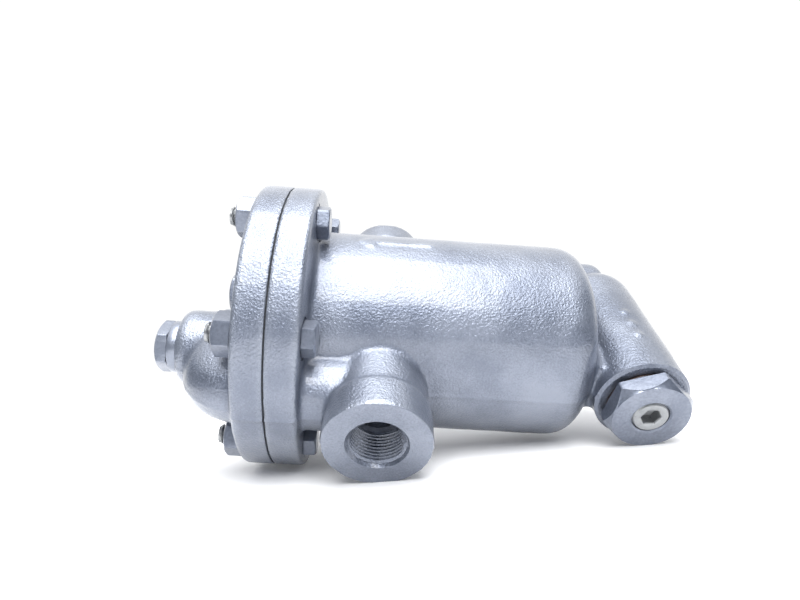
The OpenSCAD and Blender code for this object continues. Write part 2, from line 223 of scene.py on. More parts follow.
class Net:
    """Adds nodes to one node tree."""

    def __init__(self, tree):
        self.tree = tree

    def feed(self, node, inputs):
        """Links the wires among these inputs to the node's sockets and sets the other values."""
        for key, value in inputs.items():
            if isinstance(value, Wire):
                self.tree.links.new(value.socket, node.inputs[key])
            else:
                node.inputs[key].default_value = value
        return node

    def node(self, kind, settings=None, inputs=None):
        """A node of this kind, its settings set first, then its inputs."""
        made = self.tree.nodes.new(kind)
        for key, value in (settings or {}).items():
            setattr(made, key, value)
        return self.feed(made, inputs or {})

    def wire(self, kind, output, settings=None, inputs=None):
        return Wire(self, self.node(kind, settings, inputs).outputs[output])

    def shape(self, kind, geometry, inputs=None, settings=None):
        """What a geometry node makes of the shape it is given."""
        return self.wire("GeometryNode" + kind, 0, settings, {0: geometry, **(inputs or {})})

    def maths(self, operation, *values):
        return self.wire("ShaderNodeMath", 0, {"operation": operation}, dict(enumerate(values)))

    def vector(self, operation, *values, output=0, scale=None):
        inputs = dict(enumerate(values))
        if scale is not None:
            inputs["Scale"] = scale
        return self.wire("ShaderNodeVectorMath", output, {"operation": operation}, inputs)

    def point(self, x=0.0, y=0.0, z=0.0):
        return self.wire("ShaderNodeCombineXYZ", 0, None, {0: x, 1: y, 2: z})

    def parts(self, vector):
        """The X, Y and Z of a vector."""
        split = self.node("ShaderNodeSeparateXYZ", None, {0: vector})
        return [Wire(self, part) for part in split.outputs]

    def clamp(self, value):
        return self.wire("ShaderNodeClamp", 0, None, {0: value, 1: 0.0, 2: 1.0})

    def step(self, value, low, high):
        """0 below low, 1 above high and a smooth rise between them."""
        return self.wire("ShaderNodeMapRange", 0, {"interpolation_type": "SMOOTHSTEP"},
                         {"Value": value, "From Min": low, "From Max": high})

    def blend(self, factor, low, high):
        """A mix of two colours."""
        colour = [c if isinstance(c, Wire) else (*c, 1.0) for c in (low, high)]
        return self.wire("ShaderNodeMix", 2, {"data_type": "RGBA"},
                         {0: factor, 6: colour[0], 7: colour[1]})

    def noise(self, at, scale, detail=3.0, roughness=0.5):
        return self.wire("ShaderNodeTexNoise", 0, None, {
            "Vector": at, "Scale": scale, "Detail": detail, "Roughness": roughness})

    def bump(self, height, depth, strength):
        """A normal bumped by a height, its depth given in millimetres."""
        return self.wire("ShaderNodeBump", "Normal", None, {
            "Height": height, "Distance": depth * MM, "Strength": strength})

    def mark(self, name, kind):
        """A named attribute of the shape."""
        return self.wire("GeometryNodeInputNamedAttribute", "Attribute", {"data_type": kind},
                         {"Name": name})


def finish(name, recipe):
    """A material whose recipe wires its shader from the place on the piece in millimetres."""
    material = bpy.data.materials.new(name)
    material.use_nodes = True
    net = Net(material.node_tree)
    at = net.wire("ShaderNodeTexCoord", "Object")
    recipe(net, net.tree.nodes["Principled BSDF"], net.vector("SCALE", at, scale=1 / MM))
    return material


def enamel(name, looks, grit, coarse):
    """Gloss paint over iron: grit is the depth of the grain, coarse its size in millimetres."""
    def recipe(net, shader, at):
        drift = net.noise(at, 0.028)
        grain = net.noise(at, 1 / coarse, 2.0, 0.55)
        fine = net.noise(at, 2.6 / coarse, 2.0, 0.6)
        pits = net.wire("ShaderNodeTexVoronoi", 0, {"feature": "SMOOTH_F1"}, {
            "Vector": at, "Scale": 0.62 / coarse, "Smoothness": 0.55})
        edge, hollow = (net.wire("ShaderNodeAttribute", "Fac", {"attribute_name": mark})
                        for mark in ("edge", "hollow"))
        tone = net.blend(net.step(drift + (grain - 0.5) * 0.35, 0.32, 0.68),
                         looks.enamel_shade, looks.enamel)
        # Painted shade: hollows in the cast skin are darkened toward the darker enamel colour.
        tone = net.blend(net.clamp(hollow * 0.55), tone, looks.enamel_shade)
        # Convex edges lightened toward the pale enamel, broken up by noise: part edge wear, part
        # painted highlight.
        rubbed_and_highlit = net.clamp(edge * net.step(fine, 0.35, 0.7) * 0.55)
        height = grain * 0.62 + fine * 0.13 + pits * 0.35
        net.feed(shader, {
            "Base Color": net.blend(rubbed_and_highlit, tone, looks.enamel_worn), "Metallic": 0.7,
            "Roughness": net.clamp(0.3 + drift * 0.14 + hollow * 0.2),
            "Normal": net.bump(height, 0.62 * coarse, grit),
            "Coat Weight": 0.6, "Coat Roughness": 0.14})
    return finish(name, recipe)


def metal(name, colour, rough, marks, lines, shine=1.0):
    """Bare metal with tool marks: lines is how the marks are stretched along X, Y and Z."""
    def recipe(net, shader, at):
        drift = net.noise(at, 0.07)
        brush = net.noise(net.vector("MULTIPLY", at, lines), 1.0, 3.0, 0.6)
        spots = net.step(net.noise(at, 0.35, 3.0, 0.6), 0.5, 0.75)
        dark = [c * 0.55 for c in colour]
        net.feed(shader, {
            "Base Color": net.blend(net.clamp(drift * 0.35 + spots * 0.3), colour, dark),
            "Roughness": net.clamp(rough - 0.08 + brush * 0.14 + spots * 0.12),
            "Metallic": shine, "Normal": net.bump(brush, 0.06, marks)})
    return finish(name, recipe)


def fibre(name, colour):
    """Compressed fibre sheet, dull and slightly speckled."""
    def recipe(net, shader, at):
        fluff = net.noise(at, 1.4, 4.0, 0.65)
        pale = [c * 2.6 for c in colour]
        net.feed(shader, {
            "Base Color": net.blend(net.step(fluff, 0.4, 0.8), colour, pale),
            "Roughness": net.clamp(fluff * 0.3 + 0.65), "Normal": net.bump(fluff, 0.1, 0.6)})
    return finish(name, recipe)


def table_top(net, shader, at):
    """White table, clear from below and far out, so that every side of the trap can be seen."""
    net.feed(shader, {
        "Base Color": net.blend(net.noise(at, 0.003, 2.0), (0.86, 0.86, 0.87), (0.9, 0.9, 0.9)),
        "Roughness": 0.65, "Specular IOR Level": 0.2,
        "Emission Color": (1.0, 1.0, 1.0, 1.0), "Emission Strength": 0.08})
    behind = net.wire("ShaderNodeNewGeometry", "Backfacing")
    away = net.vector("DISTANCE", at, (0.0, AXIS_Y / MM, 0.0), output="Value")
    both = net.wire("ShaderNodeMixShader", 0, None, {
        0: net.maths("MAXIMUM", behind, net.step(away, 300.0, 550.0)),
        1: Wire(net, shader.outputs[0]), 2: net.wire("ShaderNodeBsdfTransparent", 0)})
    net.feed(net.tree.nodes["Material Output"], {0: both})


def finishes():
    """Every material of the trap by name, made once."""
    looks = bpy.context.scene.trap_finish
    makers = {
        "Casting enamel": (enamel, looks, looks.grit, 0.8),
        "Hardware enamel": (enamel, looks, looks.grit * 0.15, 1.3),
        "Bored iron": (metal, looks.bare_iron, 0.5, 0.8, (0.5, 2.2, 0.5), 0.7),
        "Machined iron": (metal, looks.bare_iron, 0.38, 0.5, (2.0, 0.3, 2.0), 0.85),
        "Zinc plate": (metal, looks.zinc, 0.42, 0.4, (0.8, 0.8, 3.0)),
        "Stainless sheet": (metal, looks.stainless, 0.26, 0.35, (0.25, 0.25, 4.0)),
        "Stainless bar": (metal, looks.stainless, 0.22, 0.3, (3.0, 0.3, 3.0)),
        # Copper ring: its nearly black colour is painted shade of the gap round the strainer plug.
        "Copper ring": (metal, looks.copper, 0.34, 0.4, (1.0, 3.0, 1.0)),
        "Gasket fibre": (fibre, looks.fibre),
    }
    return {name: bpy.data.materials.get(name) or make(name, *values)
            for name, (make, *values) in makers.items()}


# ---- mesh tools ----

# Places of a piece's finishes in its list: paint, bored or bare metal, faced metal.
PAINTED, BARE, FACED = range(3)


def rounded(points, steps):
    """A closed profile of (radius, height, ease) corners, each eased by that length."""
    corners = [np.array(p[:2]) for p in points]
    rows = []
    for k, (*_, ease) in enumerate(points):
        corner = corners[k]
        ways = [other - corner for other in (corners[k - 1], corners[(k + 1) % len(points)])]
        start, end = (corner + way / np.hypot(*way) * ease for way in ways)
        for s in np.linspace(0, 1, steps + 1):
            rows.append(start * (1 - s) ** 2 + corner * 2 * s * (1 - s) + end * s ** 2)
    return rows


def arc(centre_r, centre_z, radius, start, stop, steps=10):
    """Rows along a circular arc in the profile's plane, from start to stop degrees."""
    return [(centre_r + radius * math.cos(a), centre_z + radius * math.sin(a))
            for a in np.radians(np.linspace(start, stop, steps + 1))]


def spiral(radius, low, high, pitch):
    """Rows close enough together for a thread to be cut in them."""
    return [(radius, z) for z in np.arange(low, high, pitch / 6)]


def angles(segments):
    return np.arange(segments) * 2 * math.pi / segments


def circle(radius, count):
    """Places round a circle."""
    return [(radius * math.cos(a), radius * math.sin(a), 0) for a in angles(count)]


def hexagon(across, segments=96, turn=0.0):
    """Radius of a hexagon with lightly broken corners at every angle."""
    lean = [np.maximum(np.cos(angles(segments) - turn - k * math.pi / 3), 0) for k in range(6)]
    return across / 2 / sum(c ** 90 for c in lean) ** (1 / 90)


def mesh_of(points, faces):
    mesh = bpy.data.meshes.new("form")
    mesh.from_pydata(np.asarray(points).tolist(), [], faces)
    return mesh


def turned(rows, segments=96, ring=False, inks=None):
    """A profile carried round the Z axis: ends closed on the axis, or joined up for a ring.

    inks gives the material index of the band above each row.
    """
    inks = inks or [PAINTED] * len(rows)
    spin = angles(segments)
    points = []
    for radius, height in rows:
        radius = np.broadcast_to(radius, segments)
        points.append(np.stack([radius * np.cos(spin), radius * np.sin(spin),
                                np.broadcast_to(height, segments)], 1))
    points = np.concatenate(points)
    faces, ink = [], []
    for i in range(len(rows) if ring else len(rows) - 1):
        low, high = i * segments, (i + 1) % len(rows) * segments
        for j in range(segments):
            k = (j + 1) % segments
            faces.append((low + j, low + k, high + k, high + j))
            ink.append(inks[i])
    if not ring:
        last, pole = (len(rows) - 1) * segments, len(points)
        poles = [[0, 0, np.mean(rows[0][1])], [0, 0, np.mean(rows[-1][1])]]
        points = np.concatenate([points, poles])
        for j in range(segments):
            k = (j + 1) % segments
            faces += [(pole, k, j), (pole + 1, last + j, last + k)]
            ink += [inks[0], inks[-1]]
    mesh = mesh_of(points, faces)
    mesh.polygons.foreach_set("material_index", ink)
    return mesh


def rod(radius, low, high, segments=48):
    return turned([(radius, low), (radius, high)], segments)


def tube(path, radius, segments=48):
    """A round bar along points in the Y-Z plane, closed at both ends."""
    path = np.array(path, float)
    way = np.gradient(path, axis=0)
    way /= np.linalg.norm(way, axis=1)[:, None]
    spin = angles(segments)[None, :, None]
    across = np.stack([np.zeros(len(path)), -way[:, 1], way[:, 0]], 1)[:, None, :]
    centre = np.concatenate([np.zeros((len(path), 1)), path], 1)[:, None, :]
    points = centre + radius * (np.cos(spin) * np.array([1.0, 0, 0]) + np.sin(spin) * across)
    faces = [(i * segments + j, i * segments + (j + 1) % segments,
              (i + 1) * segments + (j + 1) % segments, (i + 1) * segments + j)
             for i in range(len(path) - 1) for j in range(segments)]
    count = len(path) * segments
    faces += [tuple(range(segments))[::-1], tuple(range(count - segments, count))]
    return mesh_of(points.reshape(-1, 3), faces)


def block(low, high):
    """A box between two corners."""
    x, y, z = ((low[i], high[i]) for i in range(3))
    points = [(a, b, c) for c in z for b in y for a in x]
    faces = [(0, 2, 3, 1), (4, 5, 7, 6), (0, 1, 5, 4), (2, 6, 7, 3), (0, 4, 6, 2), (1, 3, 7, 5)]
    return mesh_of(points, faces)


def moved(mesh, at=(0, 0, 0), towards="+Z"):
    """Stands a form made along Z on another axis and moves it."""
    turn = {"+Z": Matrix(), "+Y": Matrix.Rotation(-math.pi / 2, 4, "X"),
            "-Y": Matrix.Rotation(math.pi / 2, 4, "X")}
    mesh.transform(Matrix.Translation(at) @ turn[towards])
    return mesh


def join(meshes):
    """One mesh from several, keeping their material indices."""
    points, faces, inks = [], [], []
    for mesh in meshes:
        base = len(points)
        points += [v.co[:] for v in mesh.vertices]
        faces += [tuple(base + v for v in p.vertices) for p in mesh.polygons]
        inks += [p.material_index for p in mesh.polygons]
        bpy.data.meshes.remove(mesh)
    joined = mesh_of(points, faces)
    joined.polygons.foreach_set("material_index", inks)
    return joined


def thing(data, name):
    """A scene object of this mesh, lamp or camera."""
    made = bpy.data.objects.new(name, data)
    bpy.context.scene.collection.objects.link(made)
    return made


def plain(made):
    """Turns an object with its modifiers into one plain mesh."""
    graph = bpy.context.evaluated_depsgraph_get()
    shape = bpy.data.meshes.new_from_object(
        made.evaluated_get(graph), preserve_all_data_layers=True, depsgraph=graph)
    made.modifiers.clear()
    made.data = shape
    return made


def drop(made):
    bpy.data.objects.remove(made, do_unlink=True)


def with_nodes(made, name, values):
    """The object's shape after a geometry node tree, given its inputs by name."""
    tree = bpy.data.node_groups.get(name) or TREES[name](name)
    modifier = made.modifiers.new(name, "NODES")
    modifier.node_group = tree
    for item in tree.interface.items_tree:
        if item.item_type == "SOCKET" and item.in_out == "INPUT" and item.name in values:
            modifier[item.identifier] = values[item.name]
    return plain(made)


def cut(made, tool):
    """Takes one closed form away from an object."""
    knife = thing(tool, "knife")
    for slot in made.data.materials:
        tool.materials.append(slot)
    modifier = made.modifiers.new("cut", "BOOLEAN")
    modifier.operation, modifier.solver, modifier.object = "DIFFERENCE", "MANIFOLD", knife
    plain(made)
    drop(knife)


def place(mesh):
    """Moves a mesh from the body's axis in millimetres into the row frame."""
    mesh.transform(Matrix.Translation((0, AXIS_Y, 0)) @ Matrix.Scale(MM, 4))
    return mesh


def deliver(made, name, materials, node, sharp=32):
    """Names a finished piece, gives it its finishes and sets it on the housing."""
    made.name = name
    made.data.name = name
    made.data.materials.clear()
    for material in materials:
        made.data.materials.append(finishes()[material])
    made.data.validate()
    made.data.shade_smooth()
    made.data.set_sharp_from_angle(angle=math.radians(sharp))
    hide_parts(node)
    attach(made, "housing")


# ---- geometry node trees ----

def tree_of(name, inputs):
    """A geometry node tree with its input and output, and its inputs as wires by name."""
    tree = bpy.data.node_groups.new(name, "GeometryNodeTree")
    tree.interface.new_socket("Geometry", in_out="INPUT", socket_type="NodeSocketGeometry")
    tree.interface.new_socket("Geometry", in_out="OUTPUT", socket_type="NodeSocketGeometry")
    for key, kind in inputs.items():
        tree.interface.new_socket(key, in_out="INPUT", socket_type="NodeSocket" + kind)
    net = Net(tree)
    start = net.node("NodeGroupInput")
    return net, {s.name: Wire(net, s) for s in start.outputs if s.name}


def close(net, geometry):
    net.node("NodeGroupOutput", None, {0: geometry})
    return net.tree


def thread_tree(name):
    """Cuts a V thread into the wall of a turned blank: a negative depth cuts outwards."""
    net, given = tree_of(name, dict.fromkeys(
        ("Wall radius", "Pitch", "Depth", "Start", "End"), "Float"))
    x, y, z = net.parts(net.wire("GeometryNodeInputPosition", 0))
    flat = net.point(x, y)
    radius = net.vector("LENGTH", flat, output="Value")
    climb = z / given["Pitch"] - net.maths("ARCTAN2", y, x) / (2 * math.pi)
    wave = net.maths("ABSOLUTE", net.maths("FRACT", climb) * 2 - 1)
    groove = net.clamp(wave * 1.3 - 0.15)
    fade = net.clamp((z - given["Start"]) / given["Pitch"])
    fade = fade * net.clamp((given["End"] - z) / given["Pitch"])
    on_wall = net.maths("LESS_THAN", net.maths("ABSOLUTE", radius - given["Wall radius"]), 0.05)
    inward = net.vector("SCALE", net.vector("NORMALIZE", flat),
                        scale=groove * fade * on_wall * given["Depth"] * -1)
    return close(net, net.shape("SetPosition", given["Geometry"], {"Offset": inward}))


def skin_tree(name):
    """Gives a casting the slow unevenness of a sand mould and a parting seam at X = 0."""
    net, given = tree_of(name, dict.fromkeys(
        ("Unevenness", "Wavelength", "Seam height", "Seam width"), "Float"))
    at = net.wire("GeometryNodeInputPosition", 0)
    normal = net.wire("GeometryNodeInputNormal", 0)
    waves = net.vector("SCALE", at, scale=net.maths("DIVIDE", 1.0, given["Wavelength"]))
    reach = net.clamp(1 - net.maths("ABSOLUTE", net.parts(at)[0]) / given["Seam width"])
    lift = (net.noise(waves, 1.0, 2.0, 0.45) - 0.5) * given["Unevenness"]
    lift = lift + reach * given["Seam height"]
    return close(net, net.shape("SetPosition", given["Geometry"], {
        "Offset": net.vector("SCALE", normal, scale=lift)}))


def ring_tree(name):
    """Stands a copy of one fastener at every point, each turned by its own amount."""
    net, given = tree_of(name, {
        "Fastener": "Object", "Centre": "Vector", "Paint": "Material", "Bare metal": "Material"})
    fastener = net.wire("GeometryNodeObjectInfo", "Geometry", None, {"Object": given["Fastener"]})
    solid = net.shape("InstanceOnPoints", given["Geometry"], {
        "Instance": fastener, "Rotation": net.point(z=net.mark("turn", "FLOAT"))})
    solid = net.shape("RealizeInstances", solid)
    solid = net.shape("Transform", solid, {"Translation": given["Centre"]})
    solid = net.shape("SetMaterial", solid, {"Material": given["Bare metal"]})
    return close(net, net.shape("SetMaterial", solid, {
        "Selection": net.mark("painted", "BOOLEAN"), "Material": given["Paint"]}))


def screen_tree(name):
    """Lays one pierced cell over a staggered grid, rolls it into a tube and thickens it."""
    net, given = tree_of(name, {
        "Cell": "Object", "Around": "Int", "Along": "Int", "Radius": "Float",
        "Length": "Float", "Wall": "Float", "Centre": "Vector", "Finish": "Material"})
    around, radius = given["Around"], given["Radius"]
    across = radius * (2 * math.pi) / around
    step = given["Length"] / given["Along"]
    index = net.wire("GeometryNodeInputIndex", 0)
    line = net.wire("GeometryNodeMeshLine", 0, {"mode": "OFFSET"},
                    {"Count": around * given["Along"]})
    row = net.maths("FLOOR", (index + 0.5) / around)
    column = index - row * around
    odd = net.maths("MODULO", row, 2.0)
    spots = net.shape("SetPosition", line, {
        "Position": net.point((column + odd * 0.5) * across, row * step)})
    cell = net.wire("GeometryNodeObjectInfo", "Geometry", None, {"Object": given["Cell"]})
    sheet = net.shape("InstanceOnPoints", spots, {
        "Instance": cell, "Scale": net.point(across, step, 1.0)})
    sheet = net.shape("RealizeInstances", sheet)
    x, y, _ = net.parts(net.wire("GeometryNodeInputPosition", 0))
    angle = x / radius
    rolled = net.point(net.maths("COSINE", angle) * radius, y, net.maths("SINE", angle) * radius)
    sheet = net.shape("SetPosition", sheet, {"Position": rolled})
    sheet = net.shape("MergeByDistance", sheet, {"Distance": 0.02 * MM})
    inner = net.shape("ExtrudeMesh", sheet, {"Offset Scale": given["Wall"], "Individual": False},
                      {"mode": "FACES"})
    both = net.node("GeometryNodeJoinGeometry")
    for side in (net.shape("FlipFaces", sheet), inner):
        net.feed(both, {0: side})
    shell = net.shape("MergeByDistance", Wire(net, both.outputs[0]), {"Distance": 0.005 * MM})
    shell = net.shape("Transform", shell, {"Translation": given["Centre"]})
    return close(net, net.shape("SetMaterial", shell, {"Material": given["Finish"]}))


TREES = {"Screw thread": thread_tree, "Cast skin": skin_tree, "Fastener circle": ring_tree,
         "Pierced screen": screen_tree}


def threaded(mesh, wall_r, pitch, depth, start, end):
    """A turned blank's mesh with a thread cut in its wall."""
    blank = with_nodes(thing(mesh, "blank"), "Screw thread", {
        "Wall radius": wall_r, "Pitch": pitch, "Depth": depth, "Start": start, "End": end})
    shape = blank.data
    drop(blank)
    return shape


# ---- castings ----

def read(items, key, width, kind=float):
    """One value of every vertex or edge of a mesh, as an array of rows."""
    values = np.empty(len(items) * width, kind)
    items.foreach_get(key, values)
    return values.reshape(-1, width)


def soften(mesh, voxel, passes):
    """Relaxes a cast skin, most of all where forms meet, and marks its edges and hollows."""
    count = len(mesh.vertices)
    at = read(mesh.vertices, "co", 3)
    a, b = read(mesh.edges, "vertices", 2, int).T
    valence = np.bincount(a, minlength=count) + np.bincount(b, minlength=count)

    def around(values):
        """Mean of each vertex's neighbours."""
        return np.stack([(np.bincount(a, v[b], count) + np.bincount(b, v[a], count)) / valence
                         for v in values.T], 1)

    def bend():
        """How far the skin bends at each vertex, above zero in a hollow."""
        mesh.vertices.foreach_set("co", at.ravel())
        mesh.update()
        normal = read(mesh.vertex_normals, "vector", 3)
        return ((around(at) - at) * normal).sum(1)[:, None] / voxel

    for _ in range(3):
        at = at + 0.5 * (around(at) - at)
    corners = (bend() > 0.09).astype(float)
    corners = np.maximum(corners, (around(corners) > 0.01).astype(float))
    corners = around(around(corners))
    for _ in range(passes):
        at = at + 0.9 * corners * (around(at) - at)
    for _ in range(2):
        at = at + 0.5 * (around(at) - at)
    bends = bend()
    for _ in range(3):
        bends = around(bends)
    # The hollow mark drives the enamel's painted shade in hollows, and the edge mark its lightened
    # edges.
    for name, value in (("edge", -bends), ("hollow", bends)):
        layer = mesh.attributes.new(name, "FLOAT", "POINT")
        layer.data.foreach_set("value", np.clip(value.ravel() * 14, 0, 1))


def cast(forms, tools, casting, name, node):
    """One casting: closed forms under one soft skin, each tool cut from them in turn."""
    voxel = casting.voxel * 1
    raw = thing(join(forms), "casting")
    modifier = raw.modifiers.new("skin", "REMESH")
    modifier.mode, modifier.voxel_size = "VOXEL", voxel
    plain(raw)
    soften(raw.data, voxel, casting.fillet)
    with_nodes(raw, "Cast skin", {
        "Unevenness": casting.uneven, "Wavelength": 17.0, "Seam height": casting.seam,
        "Seam width": 1.5})
    looks = ["Casting enamel", "Bored iron", "Machined iron"]
    raw.data.materials.clear()
    for _ in looks:
        raw.data.materials.append(None)
    for tool in tools:
        cut(raw, tool)
    place(raw.data)
    deliver(raw, name, looks, node)


def port_forms(casting, towards):
    """Neck and collar of one port."""
    neck, mouth = casting.collar_r - 1.9, PORT_Y + 0.5
    return moved(turned([(neck, 20), (neck, PORT_Y - 18), (casting.collar_r, PORT_Y - 17),
                         (casting.collar_r, mouth)]), towards=towards)


def port_tool(casting, fasteners, towards):
    """Tapped port: passage, pipe thread, chamfer and faced mouth in one cutter."""
    chamfer, wall, throat_r, face_r = 1.8, casting.port_bore_r, 9, 34
    deep, lip = PORT_Y - 19, PORT_Y - chamfer
    rows = [(throat_r, casting.passage_y - casting.passage_r - 0.8), (throat_r, deep)]
    rows += spiral(wall, deep, lip, fasteners.pipe_pitch)
    rows += [(wall, lip), (wall + chamfer, PORT_Y), (face_r, PORT_Y), (face_r, PORT_Y + 4)]
    inks = [BARE] * (len(rows) - 3) + [PAINTED] * 3
    tool = threaded(turned(rows, 72, inks=inks), wall, fasteners.pipe_pitch, -1.15,
                    deep, PORT_Y + 1)
    return moved(tool, towards=towards)


def bolt_tools(fasteners, hole_end, seat, seat_r, seat_end):
    """Bolt holes from hole_end to the seat, with spot faces from there to seat_end."""
    hole = fasteners.shank_r + 0.5
    rows = [(hole, hole_end), (hole, seat), (seat_r, seat), (seat_r, seat_end)]
    if seat_end < seat:
        rows.reverse()
    return join([moved(turned(rows, 40), at)
                 for at in circle(fasteners.circle_r, fasteners.count)])


def flow_arrow(radius, low, high, heading):
    """A raised arrow along Z on the body wall, at a heading in degrees."""
    half, neck, rung = 1.4, high - 7, 1.4
    bars = [(half, low, neck)]
    bars += [(w, neck + rung * k, neck + rung * (k + 1))
             for k, w in enumerate((5.4, 4.3, 3.2, 2.1, 1.0))]
    marks = [block((radius - 3, -w, bottom), (radius + 0.9, w, top)) for w, bottom, top in bars]
    for mark in marks:
        mark.transform(Matrix.Rotation(math.radians(heading), 4, "Z"))
    return marks


class TRAP_OT_body(bpy.types.Operator):
    """Cast body: flange, ports, risers and strainer housing, machined where parts fit"""
    bl_idname = "trap.body"
    bl_label = "Body casting"

    def execute(self, context):
        casting = sizes(context.scene.trap_casting)
        fasteners = sizes(context.scene.trap_fasteners)
        wall, chamber, bore = casting.wall_r, casting.chamber_r, casting.strainer_bore_r
        strainer_r, passage, riser_y = casting.strainer_r, casting.passage_r, casting.passage_y
        inlet, outlet = casting.inlet_riser_r, casting.outlet_riser_r
        under, rim, floor = FLANGE_UNDER, FLANGE_R + 0.5, -casting.floor
        foot, dome, dome_r = -105, -88, 15
        riser_end, riser_ease = -135, 9
        saddle_half, saddle_y, strainer_end = 13, -38, 33
        shell = turned([(30, foot)] + arc(wall - dome_r, dome, dome_r, -72, 0)
                       + [(wall, under - 1), (rim - 0.9, under), (rim, under + 0.9),
                          (rim, JOINT_Z + 0.5)], 128)
        strainer = turned([(strainer_r, RIM_Y - 3), (strainer_r, strainer_end)]
                          + arc(0, strainer_end, strainer_r, 6, 84, 12), 96)
        riser = turned([(4, riser_end)] + arc(inlet - riser_ease, riser_end + riser_ease,
                                              riser_ease, -84, 0, 8) + [(inlet, 0)])
        forms = [
            shell, port_forms(casting, "+Y"), port_forms(casting, "-Y"),
            moved(strainer, (0, 0, STRAINER_Z), "+Y"), moved(riser, (0, riser_y, 0)),
            moved(rod(outlet, 0, under + 2), (0, -riser_y, 0)),
            block((2 - inlet, 0, STRAINER_Z), (inlet - 2, riser_y, -1)),
            block((2 - outlet, -riser_y, 1), (outlet - 2, 0, under + 1)),
            block((-saddle_half, saddle_y, STRAINER_Z), (saddle_half, 0, floor - 2)),
        ]
        forms += flow_arrow(wall, -22, 14, 4)
        forms += [moved(turned(arc(0, 0, 3.4, -80, 80, 6), 24), (strainer_r - 2.2, y, STRAINER_Z))
                  for y in (-22, -12, -2)]
        tube_r, socket_r, socket_end, ease = 6.3, 8, floor - 11, 10
        rows = [(tube_r, STRAINER_Z), (tube_r, socket_end), (socket_r, socket_end),
                (socket_r, floor)]
        rows += arc(chamber - ease, floor + ease, ease, -90, 0)
        rows += [(chamber, JOINT_Z), (FLANGE_R + 3, JOINT_Z), (FLANGE_R + 3, JOINT_Z + 4)]
        tools = [turned(rows, 96, inks=[FACED] * len(rows)),
                 port_tool(casting, fasteners, "+Y"), port_tool(casting, fasteners, "-Y")]
        screen_r, screen_end = 12.6, -32
        rows = [(5, -riser_y), (5, screen_end), (screen_r, screen_end), (screen_r, -28),
                (bore, -28), (bore, -RIM_Y - 1), (bore + 1, -RIM_Y), (strainer_r - 1.6, -RIM_Y),
                (strainer_r + 1, -RIM_Y - 1.8), (strainer_r + 1, -RIM_Y + 6)]
        inks = [BARE] * (len(rows) - 4) + [PAINTED] * 4
        tools += [moved(turned(rows, 72, inks=inks), (0, 0, STRAINER_Z), "-Y"),
                  join([moved(rod(passage, 0, JOINT_Z + 1, 32), (0, -riser_y, 0)),
                        moved(rod(passage, STRAINER_Z, 0, 32), (0, riser_y, 0))]),
                  bolt_tools(fasteners, JOINT_Z + 1, under, fasteners.head_af * 0.66, 20)]
        cast(forms, tools, casting, "body_casting", "body")
        return {"FINISHED"}


class TRAP_OT_cap(bpy.types.Operator):
    """Cast cap: flange, crown, outlet elbow and two tapped bosses"""
    bl_idname = "trap.cap"
    bl_label = "Cap casting"

    def execute(self, context):
        casting = sizes(context.scene.trap_casting)
        fasteners = sizes(context.scene.trap_fasteners)
        crown, crown_top, rim = casting.crown_r, CAP_TOP + 4.5, FLANGE_R + 0.5
        shell = turned([(rim, CAP_Z - 0.5), (rim, CAP_TOP - 0.9), (rim - 0.9, CAP_TOP),
                        (crown + 1, CAP_TOP)] + arc(crown - 4, crown_top - 4, 4, 0, 90)
                       + [(1, crown_top)], 128)
        bend_y, bend_z, bend_r = -39.4, 63.8, 10.5
        top = bend_z + bend_r
        elbow = tube([(y, top) for y in (-14, -22, -32)]
                     + arc(bend_y, bend_z, bend_r, 90, 180, 18)
                     + [(bend_y - bend_r, 60), (bend_y - bend_r, CAP_Z)], casting.elbow_r)
        shoulder = BOSS_TOP - 5
        boss = turned([(18.5, CAP_Z), (18.5, shoulder)] + arc(13.5, shoulder, 5, 0, 84)
                      + [(13, BOSS_TOP + 0.4)])
        shoulder = TAPPING_TOP - 3
        tapping = turned([(15.5, CAP_Z), (15, shoulder)] + arc(12, shoulder, 3, 0, 80)
                         + [(11, TAPPING_TOP + 0.4)])
        forms = [shell, elbow, moved(boss, (0, BOSS_Y, 0)), moved(tapping, (0, TAPPING_Y, 0))]
        recess_r, recess, passage, passage_z = 42, CAP_Z + 10.5, casting.passage_r, 72
        seat_r, seat_end, tapped_r = 8, recess + 6.5, 7.3
        tools = [
            turned([(FLANGE_R + 3, CAP_Z - 4), (FLANGE_R + 3, CAP_Z), (recess_r, CAP_Z),
                    (recess_r, recess - 1), (recess_r - 1, recess)], 96, inks=[FACED] * 5),
            moved(turned([(seat_r, recess - 1), (seat_r, seat_end), (tapped_r, seat_end),
                          (tapped_r, BOSS_TOP), (40, BOSS_TOP), (40, BOSS_TOP + 4)], 64,
                         inks=[BARE] * 4 + [PAINTED] * 2), (0, BOSS_Y, 0)),
            moved(turned([(tapped_r, recess - 1), (tapped_r, TAPPING_TOP), (18.4, TAPPING_TOP),
                          (18.4, TAPPING_TOP + 4)], 64, inks=[BARE] * 2 + [PAINTED] * 2),
                  (0, TAPPING_Y, 0)),
            moved(rod(passage, CAP_Z - 1, passage_z + passage * 0.8, 32),
                  (0, -casting.passage_y, 0)),
            moved(rod(passage, -BOSS_Y, casting.passage_y, 32), (0, 0, passage_z), "-Y"),
            bolt_tools(fasteners, CAP_Z - 1, CAP_TOP, fasteners.nut_af * 0.64, crown_top + 40),
        ]
        cast(forms, tools, casting, "cap_casting", "cap")
        return {"FINISHED"}


# ---- fasteners and plugs ----

def chamfered(across, height, bevel=0.35):
    """Rows of a hexagon whose corners are chamfered by a cone at its top."""
    wall, face = hexagon(across), across / 2 * 0.94
    crest = height - np.maximum(wall - face, 0) * 0.55
    return [(wall - bevel, 0), (wall, bevel), (wall, crest - bevel * 0.4),
            (wall - bevel * 0.4, crest), (face, height)]


